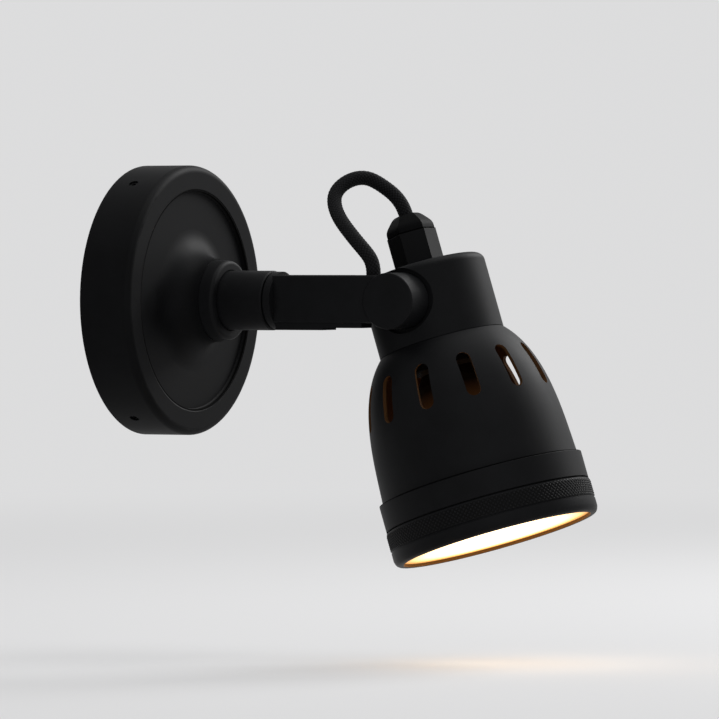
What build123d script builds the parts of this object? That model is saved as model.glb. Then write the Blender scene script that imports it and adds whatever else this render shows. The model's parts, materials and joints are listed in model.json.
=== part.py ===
from build123d import *
import os
from math import cos, pi, radians, sin, sqrt, tan

# A pivoting spotlight wall light. A round rose stands on the wall and a sleeve is clamped in its
# front by a collar. The arm swivels in the sleeve and ends in a knuckle, where the spot head tilts
# beside it. A knurled bezel ring screws on the head's rim and holds the lens. A braided cable
# leaves the top of the arm, makes a free loop and goes into a gland on top of the head.
#
# Millimetres, +Z up. The wall is the plane Y = 0, the light stands out along -Y, and the origin is
# on the wall behind the middle of the rose.

# ---- fits and small details that recur -------------------------------------------------------
FIT = 0.1                  # between pieces that slide together or pass through each other
RUNNING = 0.05             # radial clearance of a pin or bush that turns
BEVEL = 0.5                # broken edges
CUT = 1.0                  # how far a cut runs on past the face that it opens
DRIVER_SLOT = (9.0, 0.6, 0.8)  # length, width and depth of a screwdriver slot

# ---- rose, on the wall -----------------------------------------------------------------------
ROSE_RADIUS = 60.0
ROSE_DEPTH = 24.5          # wall to the flat rim of the rose's front
ROSE_WALL = 4.0
ROSE_EDGE = 3.2            # rounding of the front edge
RIM_WIDTH = 9.8            # flat rim between the middle of the rounded edge and the step to the dish
DISH_DROP = 1.9            # step from the rim down to the dish
FLARE_RADIUS = 13.0        # the dish sweeps up into the boss
BOSS_STEP = 0.8            # the boss is this much wider than the collar on it
BOSS_DEPTH = 36.0          # wall to the front of the boss
PLATE_THICKNESS = 2.0      # pressed pan on the wall, which the rose slides over
PLATE_RIM_DEPTH = 15.0
PLATE_GAP = 0.4            # pan to the inside of the rose
FIXING_SPACING = 70.0      # two slots for the wall screws, side by side
FIXING_WIDTH = 5.0
FIXING_LENGTH = 12.0
GRUB_RADIUS = 2.0
GRUB_DEPTH = 10.0          # height of the grub screws above the wall
GRUB_TURNS = (30, 150, 270)  # round the rose, from its top
GRUB_RECESS = 0.8          # the screws lie below the rose's side
GRUB_SOCKET = 2.0
ENTRY_RADIUS = 7.5         # hole in the pan for the supply cable
ENTRY_GROMMET_BORE = 4.5
GROMMET_LIP = 1.2
TERMINAL_WAYS = (-1, 0, 1)
TERMINAL_HEIGHT = 30.0     # terminal block above the pan's middle
TERMINAL_PITCH = 9.0
TERMINAL_DEPTH = 11.0      # towers of the block, above the pan
TERMINAL_BASE = 6.0
BASE_WIDTH = 14.0
TOWER_LENGTH = 17.0
TOWER_WIDTH = 4.8
WIRE_HEIGHT = 5.0          # wire holes through the towers, above the pan
CLAMP_OFFSET = 5.0         # clamping screws, each side of the block's middle
CLAMP_RADIUS = 1.6
FIXING_SCREW = 1.2
FIXING_HEAD = (2.0, 1.2)   # radius and height of the block's screw heads
EARTH_HEIGHT = -30.0
EARTH_RADIUS = 2.0
EARTH_WASHER = (4.5, 0.8)
EARTH_HEAD = (3.6, 2.4)
CORE_RADIUS = 1.1
CORE_GAP = 0.3             # cores in the rose to the cable that turns with the arm
CORE_SPREAD = 2.5
CORE_DROP = 3.0

# ---- sleeve and collar -----------------------------------------------------------------------
SLEEVE_RADIUS = 13.2
SLEEVE_WALL = 2.6
SLEEVE_REACH = 64.4        # wall to the sleeve's front end
FLANGE_WIDTH = 5.8
FLANGE_THICKNESS = 3.5
COLLAR_WALL = 4.5
COLLAR_LENGTH = 6.5
COLLAR_LIP = 1.8
BUSH_LENGTH = 40.0
BUSH_INSET = 3.0
WASHER_OVERLAP = 1.5       # the swivel's washers are this much larger than the sleeve's bore
WAVE_WASHER = 0.8
STOP_WASHER = 1.5
STOP_TAB = 4.0
STOP_PIN_RADIUS = 1.25
CIRCLIP = 1.2
CIRCLIP_GROOVE = 0.7
CIRCLIP_WIDTH = 2.6
CIRCLIP_MOUTH = 4.0

# ---- arm -------------------------------------------------------------------------------------
JOINT_GAP = 0.5            # between the sleeve and the arm's shoulder
SPIGOT_RADIUS = 8.5
SPIGOT_BORE = 5.5
SPIGOT_TAIL = 1.5          # past the circlip
ROOT_RADIUS = 12.8         # round root of the arm, before the flats
ROOT_LENGTH = 3.8
PIVOT_REACH = 125.7        # wall to the axis that the head tilts about
KNUCKLE_RADIUS = 12.4
NEAR_FACE = 8.8            # arm's flat side, from the arm's middle
FAR_FACE = 6.1             # arm's other side, which carries the head
BAR_TOP = 11.3
BAR_BOTTOM = 9.7
BAR_EDGE = 1.0
CHANNEL_WIDTH = 7.0        # wireway along the arm, open below
CHANNEL_TOP = 5.0
CHANNEL_OFFSET = 2.9       # wireway's middle, from the arm's middle
CHANNEL_SETBACK = 6.5
WIDE_SIDE = 3.6            # its wide first stretch, where the cable crosses over
WIDE_LENGTH = 17.0
CABLE_PASSAGE = 4.4        # bore from the spigot into the wireway
CABLE_DROP = 3.4           # cable's level in the wireway, below the arm's middle
CLAMP_SETBACK = 12.1       # clamp to the end of the wireway's cover
CLAMP_LENGTH = 6.0
COVER_THICKNESS = 2.2
COVER_PAD = 1.0
COVER_MARGIN = 1.3
COVER_SETBACK = 0.8
COVER_GAP = 1.0            # cover to the knuckle
COVER_SCREW_RADIUS = 1.25
COVER_SCREW_LENGTH = 3.2
OUTLET_SETBACK = 10.0      # cable outlet in the arm's top, from the pivot towards the wall
OUTLET_GROMMET = 0.7

# ---- knuckle, across the arm -----------------------------------------------------------------
DISC_THICKNESS = 1.8
DISC_PROUD = 0.5
DISC_EDGE = 0.8
DISC_SPIGOT = 1.5
PIVOT_RADIUS = 2.5
BOLT_SOCKET = (3.0, 2.0)   # width across the flats, and depth
NUT_FLATS = 8.0
NUT_THICKNESS = 4.0
NUT_GAP = 0.2
DISC_SPRING = 0.6
SPRING_STEP = 0.4
POCKET_CLEARANCE = 0.4
FRICTION_WASHER = 0.6
SEAT_DEPTH = 3.95          # spotface in the cap's side, where the knuckle sits
SEAT_RADIUS = 14.5
SEAT_BOSS = 4.5
SEAT_WALL = 2.0
RELIEF_GAP = 0.45          # cap's side to the arm that it sweeps past
RELIEF_MARGIN = 1.0

# ---- head ------------------------------------------------------------------------------------
HEAD_TILT = 17.5           # mouth down and out from the wall
CAP_RADIUS = 28.25
CAP_WALL = 3.0
CAP_TOP = 14.5             # pivot to the top of the cap
CAP_LENGTH = 34.7
CAP_EDGE = 3.5
CAP_SPIGOT = (4.5, 1.8)    # length and wall of the cap's spigot in the shade
SHADE_WALL = 1.8
SHADE_LENGTH = 62.6
SHADE_RADIUS = 44.4
SHADE_SHAPE = ((0.10, 0.31), (0.24, 0.58), (0.48, 0.83), (0.74, 0.945))  # shares of length, flare
SLOT_COUNT = 12
SLOT_WIDTH = 6.4
SLOT_LENGTH = 20.5
SLOT_DROP = 10.2           # junction to the top of the slots
SLOT_TURN = 8.0            # a slot's turn from the front of the head
BAND_WALL = 1.7
BAND_LENGTH = 11.8
BAND_SOCKET = 7.0
BEZEL_PROUD = 0.6          # the bezel's grip stands out from the band by this much
BEZEL_GAP = 0.8
BEZEL_LENGTH = 15.1
BEZEL_EDGE = 2.4
KNURL_LENGTH = 8.4
KNURL_DROP = 0.4           # the plain lip is turned down by this much
THREAD_WALL = 2.0
THREAD_CLEARANCE = 0.06
THREAD_GAP = 1.6           # band's end to the snap ring
LENS_THICKNESS = 3.0
LENS_INSET = 0.8           # lens is smaller than the thread by this much
LENS_CLEARANCE = 0.3
LENS_GRIP = 1.2            # mouth's lip over the lens
MOUTH_LIP = 1.5
GASKET = (2.2, 1.6)        # width and thickness
SNAP_RING = 1.2
SNAP_WIDTH = 2.5
SNAP_MOUTH = 8.0
SNAP_GROOVE = 0.4

# ---- lamp and holder -------------------------------------------------------------------------
HOLDER_GAP = 1.3           # to the seat's boss
HOLDER_TOP = 3.5           # above the pivot
HOLDER_LENGTH = 34.0
HOLDER_WALL = 4.8          # skirt to the bore for the lamp's base
HOLDER_STEP = 1.5          # the upper part is slimmer than the skirt by this much
HOLDER_CROWN = 3.0
HOLDER_SKIRT = 11.0
HOLDER_PLAY = 0.5
HOLDER_FLOOR = 9.0
CONTACT_RADIUS = 5.0
CONTACT_TIP = 3.0
CONTACT_STRIP = 0.8
CONTACT_HEIGHT = 2.0
LAMP_BASE_LENGTH = 25.0
LAMP_TIP = ((5.0, 0.0), (6.5, 2.5))  # radius and depth of the insulated tip's points
LAMP_BASE_CONE = 5.0
LAMP_NECK = 16.0
LAMP_NECK_LENGTH = (5.0, 10.0)
LAMP_BOWL = (5.0, 24.0)    # where the bowl opens: beyond the neck, and below the base
LAMP_RADIUS = 31.5
LAMP_RIM = 9.0
LAMP_CROWN = 6.0
LAMP_WALL = 1.2
LAMP_SETTLE = 0.4
LAMP_GAP = 3.5             # lamp's front to the lens
BRACKET_THICKNESS = 1.5
BRACKET_WIDTH = 16.0
BRACKET_INSET = 3.55       # its screws, in from the cap's wall
BRACKET_BOSS = 3.5
SCREW_RADIUS = 1.5
SCREW_HEAD = (2.5, 1.8)
SCREW_REACH = 5.0
NIPPLE_RADIUS = 5.0
NIPPLE_DEPTH = 5.0
NIPPLE_NUT = (13.0, 2.2)   # width across the flats, and thickness

# ---- gland and cable -------------------------------------------------------------------------
CABLE_RADIUS = 3.15
GLAND_FLATS = 19.2
GLAND_HEX = 16.2
GLAND_THREAD = 8.0
GLAND_STUB = 6.0
GLAND_LOCK_NUT = (20.7, 3.0)
SEAL_RADIUS = 6.0
SEAL_LENGTH = 7.0
DOME_HEIGHT = 8.5
DOME_FLATS = 18.6
DOME_TOP = 4.6
DOME_SHOULDER = 1.4
DOME_SHAPE = (0.6, 0.66)   # shares of width and height where the flanks bulge
DOME_SLOPE = 0.55

# The cable's free loop: its points between the arm's outlet and the top of the gland.
LOOP_ROUTE = [
    (-2.7, -113.5, 19.8), (-1.6, -107.8, 24.8), (0.8, -101.8, 30.0), (4.4, -95.4, 35.2),
    (8.8, -89.9, 41.0), (13.4, -87.0, 47.3), (19.2, -90.2, 52.9), (25.4, -96.6, 55.2),
    (29.9, -103.3, 50.6),
]
OUTLET_RISE = 4.5          # the loop's straight ends, square to the arm and to the gland
GLAND_RISE = 7.0

# ---- what follows from these -----------------------------------------------------------------
# Radii.
COLLAR_RADIUS = SLEEVE_RADIUS + COLLAR_WALL
BOSS_RADIUS = COLLAR_RADIUS + BOSS_STEP
FLANGE_RADIUS = SLEEVE_RADIUS + FLANGE_WIDTH
SLEEVE_BORE = SLEEVE_RADIUS - SLEEVE_WALL
WASHER_RADIUS = SLEEVE_BORE + WASHER_OVERLAP
PLATE_RADIUS = ROSE_RADIUS - ROSE_WALL - PLATE_GAP
OUTLET_RADIUS = CABLE_RADIUS + FIT + OUTLET_GROMMET
POCKET_RADIUS = NUT_FLATS / sqrt(3) + POCKET_CLEARANCE
SHADE_BORE = SHADE_RADIUS - SHADE_WALL
BAND_RADIUS = SHADE_RADIUS + BAND_WALL
BEZEL_RADIUS = BAND_RADIUS + BEZEL_PROUD
THREAD_RADIUS = SHADE_BORE + THREAD_WALL
BEZEL_BORE = THREAD_RADIUS + THREAD_CLEARANCE
LENS_RADIUS = THREAD_RADIUS - LENS_INSET
BRACKET_SPACING = 2 * (CAP_RADIUS - CAP_WALL - BRACKET_INSET)
MOUTH_RADIUS = LENS_RADIUS - LENS_GRIP

# Depths from the wall.
ROSE_CEILING = ROSE_DEPTH - DISH_DROP - ROSE_WALL
SLEEVE_INNER_END = ROSE_CEILING - FLANGE_THICKNESS
STOP_TOP = SLEEVE_INNER_END - WAVE_WASHER
CIRCLIP_TOP = STOP_TOP - STOP_WASHER
CIRCLIP_END = CIRCLIP_TOP - CIRCLIP
SPIGOT_END = CIRCLIP_END - SPIGOT_TAIL
SHOULDER = SLEEVE_REACH + JOINT_GAP
BAR_START = SHOULDER + ROOT_LENGTH - BEVEL
CHANNEL_START = BAR_START + CHANNEL_SETBACK
WIDE_END = CHANNEL_START + WIDE_LENGTH
COVER_START = BAR_START + COVER_SETBACK
COVER_END = PIVOT_REACH - KNUCKLE_RADIUS - COVER_GAP
CLAMP_SPAN = (COVER_END - CLAMP_SETBACK - CLAMP_LENGTH, COVER_END - CLAMP_SETBACK)
OUTLET_DEPTH = PIVOT_REACH - OUTLET_SETBACK
CHANNEL_END = OUTLET_DEPTH + OUTLET_RADIUS
COVER_FACE = COVER_THICKNESS + COVER_PAD   # below the arm, at the cover's screw

# Across the arm, from its middle.
CHANNEL = (-CHANNEL_OFFSET - CHANNEL_WIDTH / 2, -CHANNEL_OFFSET + CHANNEL_WIDTH / 2)
DISC_FACE = -NEAR_FACE - DISC_PROUD
DISC_BACK = DISC_FACE + DISC_THICKNESS
BOLT_END = DISC_BACK + DISC_SPIGOT
NUT_FACE = BOLT_END + NUT_GAP
SPRING_FACE = NUT_FACE + NUT_THICKNESS
POCKET_FLOOR = SPRING_FACE + 2 * DISC_SPRING
SEAT_FACE = FAR_FACE + FRICTION_WASHER
CAP_SIDE = SEAT_FACE - SEAT_DEPTH
RELIEF_FACE = CAP_SIDE - RELIEF_GAP
HEAD_OFFSET = CAP_SIDE + CAP_RADIUS
BOLT_HEAD_FACE = SEAT_FACE + SEAT_BOSS
SEAT_DISTANCE = HEAD_OFFSET - SEAT_FACE
HOLDER_RADIUS = HEAD_OFFSET - BOLT_HEAD_FACE - HOLDER_GAP
HOLDER_BORE = HOLDER_RADIUS - HOLDER_WALL
LAMP_BASE_RADIUS = HOLDER_BORE - HOLDER_PLAY

# Heights in the head, from the pivot.
CAP_CEILING = CAP_TOP - CAP_WALL
CAP_BOTTOM = CAP_TOP - CAP_LENGTH
SHADE_BOTTOM = CAP_BOTTOM - SHADE_LENGTH
SHADE_END = SHADE_BOTTOM - BAND_SOCKET
BAND_BOTTOM = SHADE_BOTTOM - BAND_LENGTH
BEZEL_TOP = BAND_BOTTOM - BEZEL_GAP
MOUTH = BEZEL_TOP - BEZEL_LENGTH
LENS_FACE = MOUTH + MOUTH_LIP
LENS_BACK = LENS_FACE + LENS_THICKNESS
GASKET_BACK = LENS_BACK + GASKET[1]
SNAP_BACK = GASKET_BACK + SNAP_RING
THREAD_END = SNAP_BACK + THREAD_GAP
RELIEF_RADIUS = sqrt(SEAT_RADIUS ** 2 + CAP_BOTTOM ** 2) + RELIEF_MARGIN
HOLDER_BOTTOM = HOLDER_TOP - HOLDER_LENGTH
CONTACT = HOLDER_TOP - HOLDER_FLOOR
LAMP_TOP = CONTACT - CONTACT_HEIGHT
LAMP_BASE_END = LAMP_TOP - LAMP_BASE_LENGTH
LAMP_FRONT = LENS_BACK + LAMP_GAP
BRACKET_TOP = HOLDER_TOP + BRACKET_THICKNESS
NIPPLE_TOP = BRACKET_TOP + NIPPLE_NUT[1]
GLAND_TOP = CAP_TOP + GLAND_HEX
DOME_END = GLAND_TOP + DOME_HEIGHT

OUTWARDS = Location((0, 0, 0), (90, 0, 0))  # builds along +Z with +Y up, then stands out from the wall
ACROSS = Location((0, 0, 0), (0, 90, 0))    # builds along +Z, then lies along +X
HEAD = Location((HEAD_OFFSET, -PIVOT_REACH, 0), (-HEAD_TILT, 0, 0))  # +Z up the head, from the pivot


# ---- helpers ---------------------------------------------------------------------------------
def rod(radius, low, high):
    """A cylinder about Z between two heights."""
    return Pos(0, 0, low) * extrude(Circle(radius), high - low)


def ring(outer, inner, low, high):
    """A plain ring about Z between two heights."""
    return rod(outer, low, high) - rod(inner, low, high)


def turned(*outline):
    """A solid turned about Z from lines and curves, or from (radius, height) points."""
    if isinstance(outline[0], tuple):
        points = [(radius, 0, height) for radius, height in outline]
        return revolve(make_face(Polyline(*points, close=True)), Axis.Z)
    return revolve(make_face(list(outline)), Axis.Z)


def line(*points):
    """A polyline in the plane that turned shapes are drawn in."""
    return Polyline(*[(radius, 0, height) for radius, height in points])


def corner(centre, radius, start, end):
    """A rounded corner about a (radius, height) centre, between two directions in degrees."""
    turns = [radians(turn) for turn in (start, (start + end) / 2, end)]
    return ThreePointArc(*[(centre[0] + radius * cos(t), 0, centre[1] + radius * sin(t)) for t in turns])


def hexagon(flats, low, high):
    """A hexagonal prism about Z, given the width across its flats."""
    return Pos(0, 0, low) * extrude(RegularPolygon(flats / sqrt(3), 6), high - low)


def block(x, y, z):
    """A box between two limits on each axis."""
    size = [high - low for low, high in (x, y, z)]
    middle = [(low + high) / 2 for low, high in (x, y, z)]
    return Pos(*middle) * Box(*size)


def centred(width):
    """The two limits of a width about the middle."""
    return (-width / 2, width / 2)


def driver_slot(face):
    """A screwdriver slot across a screw's face at a height."""
    length, width, depth = DRIVER_SLOT
    return block(centred(length), centred(width), (face - depth, face + depth))


def countersunk(radius, tip, face, past=0):
    """A countersunk screw about Z from its tip up to its face, or its hole, run on past both ends."""
    return turned((0, tip - past), (radius, tip - past), (radius, face - radius),
                  (2 * radius + past, face + past), (0, face + past))


def across(shape, depth):
    """Lays a shape built along Z across the arm, along X at a depth from the wall."""
    return Pos(0, -depth, 0) * ACROSS * shape


# ---- rose ------------------------------------------------------------------------------------
def rose_cover():
    """Turned rose: rounded edge, flat rim, sunk dish and a flared boss for the sleeve."""
    inside = ROSE_RADIUS - ROSE_WALL
    dish = ROSE_DEPTH - DISH_DROP
    step = ROSE_RADIUS - ROSE_EDGE / 2 - RIM_WIDTH
    edge = (ROSE_RADIUS - ROSE_EDGE, ROSE_DEPTH - ROSE_EDGE)
    flare = (BOSS_RADIUS + FLARE_RADIUS, dish + FLARE_RADIUS)
    bore = SLEEVE_RADIUS + FIT
    body = turned(
        line((edge[0], ROSE_DEPTH), (step, ROSE_DEPTH), (step - BEVEL, dish), (flare[0], dish)),
        corner(flare, FLARE_RADIUS, -90, -180),
        line((BOSS_RADIUS, flare[1]), (BOSS_RADIUS, BOSS_DEPTH), (bore, BOSS_DEPTH), (bore, ROSE_CEILING),
             (inside, ROSE_CEILING), (inside, 0), (ROSE_RADIUS, 0), (ROSE_RADIUS, edge[1])),
        corner(edge, ROSE_EDGE, 0, 90),
    )
    for turn in GRUB_TURNS:
        body -= grub_place(turn) * rod(GRUB_RADIUS + FIT, 0, ROSE_RADIUS + CUT)
    return OUTWARDS * body


def grub_place(turn):
    """Radial place of a grub screw, in the rose's frame, with +Z out through the rose's side."""
    return Rot(0, 0, turn) * Pos(0, 0, GRUB_DEPTH) * Rot(-90, 0, 0)


def rose_grub_screws():
    """Socket screws through the rose's side that bear on the pan's rim."""
    end = ROSE_RADIUS - GRUB_RECESS
    screw = rod(GRUB_RADIUS, PLATE_RADIUS, end) - hexagon(GRUB_SOCKET, end - GRUB_SOCKET, end + CUT)
    return OUTWARDS * Compound([grub_place(turn) * screw for turn in GRUB_TURNS])


def wall_plate():
    """Pressed pan on the wall, with slots for its screws and the supply cable's hole."""
    through = (-CUT, PLATE_THICKNESS + CUT)
    pan = rod(PLATE_RADIUS, 0, PLATE_RIM_DEPTH)
    pan -= rod(PLATE_RADIUS - PLATE_THICKNESS, PLATE_THICKNESS, PLATE_RIM_DEPTH + CUT)
    pan -= rod(ENTRY_RADIUS, *through)
    for side in (-1, 1):
        slot = extrude(SlotOverall(FIXING_LENGTH, FIXING_WIDTH), PLATE_THICKNESS + 2 * CUT)
        pan -= Pos(side * FIXING_SPACING / 2, 0, -CUT) * slot
        pan -= Pos(side * TERMINAL_PITCH / 2, TERMINAL_HEIGHT, 0) * rod(FIXING_SCREW, *through)
    pan -= Pos(0, EARTH_HEIGHT, 0) * rod(EARTH_RADIUS, *through)
    return OUTWARDS * pan


def entry_grommet():
    """Rubber grommet that lines the pan's hole for the supply cable."""
    outer = ENTRY_RADIUS + GROMMET_LIP
    high = PLATE_THICKNESS + GROMMET_LIP
    return OUTWARDS * turned((ENTRY_GROMMET_BORE, 0), (ENTRY_RADIUS, 0), (ENTRY_RADIUS, PLATE_THICKNESS),
                             (outer, PLATE_THICKNESS), (outer, high), (ENTRY_GROMMET_BORE, high))


def terminal_block():
    """Terminal block with a tower, a wire hole and two screw holes for each way."""
    length = len(TERMINAL_WAYS) * TERMINAL_PITCH
    body = block(centred(length), centred(BASE_WIDTH), (0, TERMINAL_BASE))
    wire = Pos(0, -TOWER_LENGTH / 2 - CUT, WIRE_HEIGHT) * Rot(-90, 0, 0) * rod(
        CORE_RADIUS + FIT, 0, TOWER_LENGTH + 2 * CUT)
    for way in TERMINAL_WAYS:
        place = Pos(way * TERMINAL_PITCH, 0, 0)
        body += place * block(centred(TOWER_WIDTH), centred(TOWER_LENGTH), (0, TERMINAL_DEPTH))
        body -= place * wire
        for side in (-1, 1):
            body -= place * Pos(0, side * CLAMP_OFFSET, 0) * rod(CLAMP_RADIUS, WIRE_HEIGHT, TERMINAL_DEPTH + CUT)
    for side in (-1, 1):
        body -= Pos(side * TERMINAL_PITCH / 2, 0, 0) * rod(FIXING_SCREW, -CUT, TERMINAL_BASE + CUT)
    return OUTWARDS * Pos(0, TERMINAL_HEIGHT, PLATE_THICKNESS) * body


def terminal_fixings():
    """Two small screws that hold the terminal block on the pan."""
    radius, height = FIXING_HEAD
    screw = rod(FIXING_SCREW, FIT - PLATE_THICKNESS, TERMINAL_BASE)
    screw += rod(radius, TERMINAL_BASE, TERMINAL_BASE + height)
    screws = [Pos(side * TERMINAL_PITCH / 2, 0, 0) * screw for side in (-1, 1)]
    return OUTWARDS * Pos(0, TERMINAL_HEIGHT, PLATE_THICKNESS) * Compound(screws)


def terminal_screws():
    """Clamping screws of the terminal block, two for each way."""
    low, high = WIRE_HEIGHT + CORE_RADIUS + FIT, TERMINAL_DEPTH - BEVEL
    screw = rod(CLAMP_RADIUS - FIT, low, high) - driver_slot(high)
    screws = [Pos(way * TERMINAL_PITCH, side * CLAMP_OFFSET, 0) * screw
              for way in TERMINAL_WAYS for side in (-1, 1)]
    return OUTWARDS * Pos(0, TERMINAL_HEIGHT, PLATE_THICKNESS) * Compound(screws)


def earth_screw():
    """Earth screw with its washer, in the pan."""
    (washer_radius, washer), (head_radius, head) = EARTH_WASHER, EARTH_HEAD
    seat = PLATE_THICKNESS + washer
    screw = rod(EARTH_RADIUS, FIT, seat) + rod(washer_radius, PLATE_THICKNESS, seat)
    screw += rod(head_radius, seat, seat + head) - driver_slot(seat + head)
    return OUTWARDS * Pos(0, EARTH_HEIGHT, 0) * screw


def supply_cores():
    """Cores from the end of the arm's cable to the terminal block."""
    start = SPIGOT_END - CORE_GAP
    level = PLATE_THICKNESS + WIRE_HEIGHT
    reach = TERMINAL_HEIGHT - TOWER_LENGTH / 2
    cores = []
    for way in TERMINAL_WAYS:
        near, far = way * CORE_SPREAD, way * TERMINAL_PITCH
        points = [(near, 0, start), (near, 0, start - CORE_DROP), ((near + far) / 2, reach / 3, level - BEVEL),
                  (far, reach * 2 / 3, level), (far, reach, level)]
        cores.append(tube(points, CORE_RADIUS))
    return OUTWARDS * Compound(cores)


# ---- sleeve, collar and swivel ---------------------------------------------------------------
def arm_sleeve():
    """Sleeve with a flange that bears on the inside of the rose."""
    end = SLEEVE_REACH
    return OUTWARDS * turned(
        (SLEEVE_BORE, SLEEVE_INNER_END), (FLANGE_RADIUS, SLEEVE_INNER_END), (FLANGE_RADIUS, ROSE_CEILING),
        (SLEEVE_RADIUS, ROSE_CEILING), (SLEEVE_RADIUS, end - BEVEL), (SLEEVE_RADIUS - BEVEL, end),
        (SLEEVE_BORE, end))


def sleeve_collar():
    """Ring screwed on the sleeve, which clamps the rose's boss against the flange."""
    low, high = BOSS_DEPTH, BOSS_DEPTH + COLLAR_LENGTH
    lip = (COLLAR_RADIUS - COLLAR_LIP, high - COLLAR_LIP)
    return OUTWARDS * turned(
        line((lip[0], high), (SLEEVE_RADIUS + BEVEL, high), (SLEEVE_RADIUS, high - BEVEL), (SLEEVE_RADIUS, low),
             (BOSS_RADIUS - BEVEL, low), (COLLAR_RADIUS, lip[1])),
        corner(lip, COLLAR_LIP, 0, 90))


def swivel_bush():
    """Bronze bush pressed into the sleeve, in which the arm's spigot turns."""
    low = SLEEVE_INNER_END + BUSH_INSET
    return OUTWARDS * ring(SLEEVE_BORE, SPIGOT_RADIUS + RUNNING, low, low + BUSH_LENGTH)


def swivel_stop_pin():
    """Pin in the sleeve's flange that the stop washer's tab meets."""
    place = (WASHER_RADIUS + FLANGE_RADIUS) / 2
    return OUTWARDS * Pos(0, -place, 0) * rod(STOP_PIN_RADIUS, CIRCLIP_TOP, SLEEVE_INNER_END)


def swivel_wave_washer():
    """Spring washer that gives the swivel its friction."""
    return OUTWARDS * ring(WASHER_RADIUS, SPIGOT_RADIUS + FIT, STOP_TOP, SLEEVE_INNER_END)


def swivel_stop_washer():
    """Washer keyed on the spigot, with a tab that stops the swivel."""
    disc = ring(WASHER_RADIUS, SPIGOT_RADIUS, CIRCLIP_TOP, STOP_TOP)
    tab = block(centred(STOP_TAB), (SLEEVE_BORE, FLANGE_RADIUS - BEVEL), (CIRCLIP_TOP, STOP_TOP))
    return OUTWARDS * (disc + tab)


def swivel_circlip():
    """Open retaining ring in the spigot's groove."""
    inner = SPIGOT_RADIUS - CIRCLIP_GROOVE
    clip = ring(inner + CIRCLIP_WIDTH, inner, CIRCLIP_END, CIRCLIP_TOP)
    return OUTWARDS * (clip - block(centred(CIRCLIP_MOUTH), (-WASHER_RADIUS, 0), (CIRCLIP_END - CUT, STOP_TOP)))


# ---- arm -------------------------------------------------------------------------------------
def arm_bar():
    """Arm: turned spigot and root, flat-sided bar with a wireway below, and a round knuckle."""
    root_end = SHOULDER + ROOT_LENGTH
    spigot = turned((SPIGOT_BORE, SPIGOT_END), (SPIGOT_RADIUS - BEVEL, SPIGOT_END),
                    (SPIGOT_RADIUS, SPIGOT_END + BEVEL), (SPIGOT_RADIUS, SHOULDER),
                    (ROOT_RADIUS - BEVEL, SHOULDER), (ROOT_RADIUS, SHOULDER + BEVEL),
                    (ROOT_RADIUS, root_end), (SPIGOT_BORE, root_end))
    spigot -= ring(SPIGOT_RADIUS + CUT, SPIGOT_RADIUS - CIRCLIP_GROOVE, CIRCLIP_END, CIRCLIP_TOP)
    bar = block((-NEAR_FACE, FAR_FACE), (-BAR_BOTTOM, BAR_TOP), (BAR_START, PIVOT_REACH))
    bar = fillet(bar.edges().filter_by(Axis.Z), BAR_EDGE)
    body = OUTWARDS * (spigot + bar)
    body += across(rod(KNUCKLE_RADIUS, -NEAR_FACE, FAR_FACE), PIVOT_REACH)
    body -= across(ring(RELIEF_RADIUS, KNUCKLE_RADIUS, RELIEF_FACE, FAR_FACE + CUT), PIVOT_REACH)
    body -= across(rod(KNUCKLE_RADIUS, -NEAR_FACE - CUT, DISC_BACK), PIVOT_REACH)
    body -= across(rod(POCKET_RADIUS, DISC_BACK - CUT, POCKET_FLOOR), PIVOT_REACH)
    body -= across(rod(PIVOT_RADIUS + RUNNING, POCKET_FLOOR - CUT, FAR_FACE + CUT), PIVOT_REACH)
    below = -BAR_BOTTOM - CUT
    body -= OUTWARDS * block(CHANNEL, (below, CHANNEL_TOP), (CHANNEL_START, COVER_END))
    body -= OUTWARDS * block((CHANNEL[0], WIDE_SIDE), (below, CHANNEL_TOP), (CHANNEL_START, WIDE_END))
    body -= OUTWARDS * block(CHANNEL, (COVER_THICKNESS - BAR_BOTTOM, CHANNEL_TOP), (COVER_END - CUT, CHANNEL_END))
    body -= OUTWARDS * rod(CABLE_PASSAGE, SHOULDER, CHANNEL_START + CUT)
    body -= outlet_place() * rod(OUTLET_RADIUS, 0, BAR_TOP + CUT)
    body -= cover_screw_place() * rod(COVER_SCREW_RADIUS, -COVER_SCREW_LENGTH, CUT)
    return body


def outlet_place():
    """Place of the cable's outlet, with +Z up through the arm's top."""
    return Pos(-CHANNEL_OFFSET, -OUTLET_DEPTH, 0)


def cover_screw_place():
    """Place of the cover's screw: in the arm's underside, with +Z down out of the arm."""
    return Pos(-CHANNEL_OFFSET, -(BAR_START + CHANNEL_START) / 2, -BAR_BOTTOM) * Rot(180, 0, 0)


def wireway_cover():
    """Strip that closes the wireway, thicker and wider along its first stretch."""
    left, right = CHANNEL[0] - COVER_MARGIN, CHANNEL[1] + COVER_MARGIN
    low = -BAR_BOTTOM - COVER_THICKNESS
    strip = block((left, right), (low, -BAR_BOTTOM), (COVER_START, COVER_END - FIT))
    pad = block((left, WIDE_SIDE + COVER_MARGIN), (low - COVER_PAD, -BAR_BOTTOM), (COVER_START, WIDE_END + CUT))
    return OUTWARDS * (strip + pad) - cover_screw_place() * countersunk(COVER_SCREW_RADIUS, 0, COVER_FACE, CUT)


def cover_screw():
    """Countersunk screw of the wireway's cover."""
    screw = countersunk(COVER_SCREW_RADIUS, -COVER_SCREW_LENGTH, COVER_FACE)
    return cover_screw_place() * (screw - driver_slot(COVER_FACE))


def cable_clamp():
    """Saddle in the wireway that the cover presses on the cable."""
    sides = (CHANNEL[0] + FIT, CHANNEL[1] - FIT)
    saddle = block(sides, (-BAR_BOTTOM, -CABLE_DROP - CABLE_RADIUS / 3), CLAMP_SPAN)
    return OUTWARDS * (saddle - Pos(-CHANNEL_OFFSET, -CABLE_DROP, 0) * rod(CABLE_RADIUS, *CLAMP_SPAN))


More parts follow.
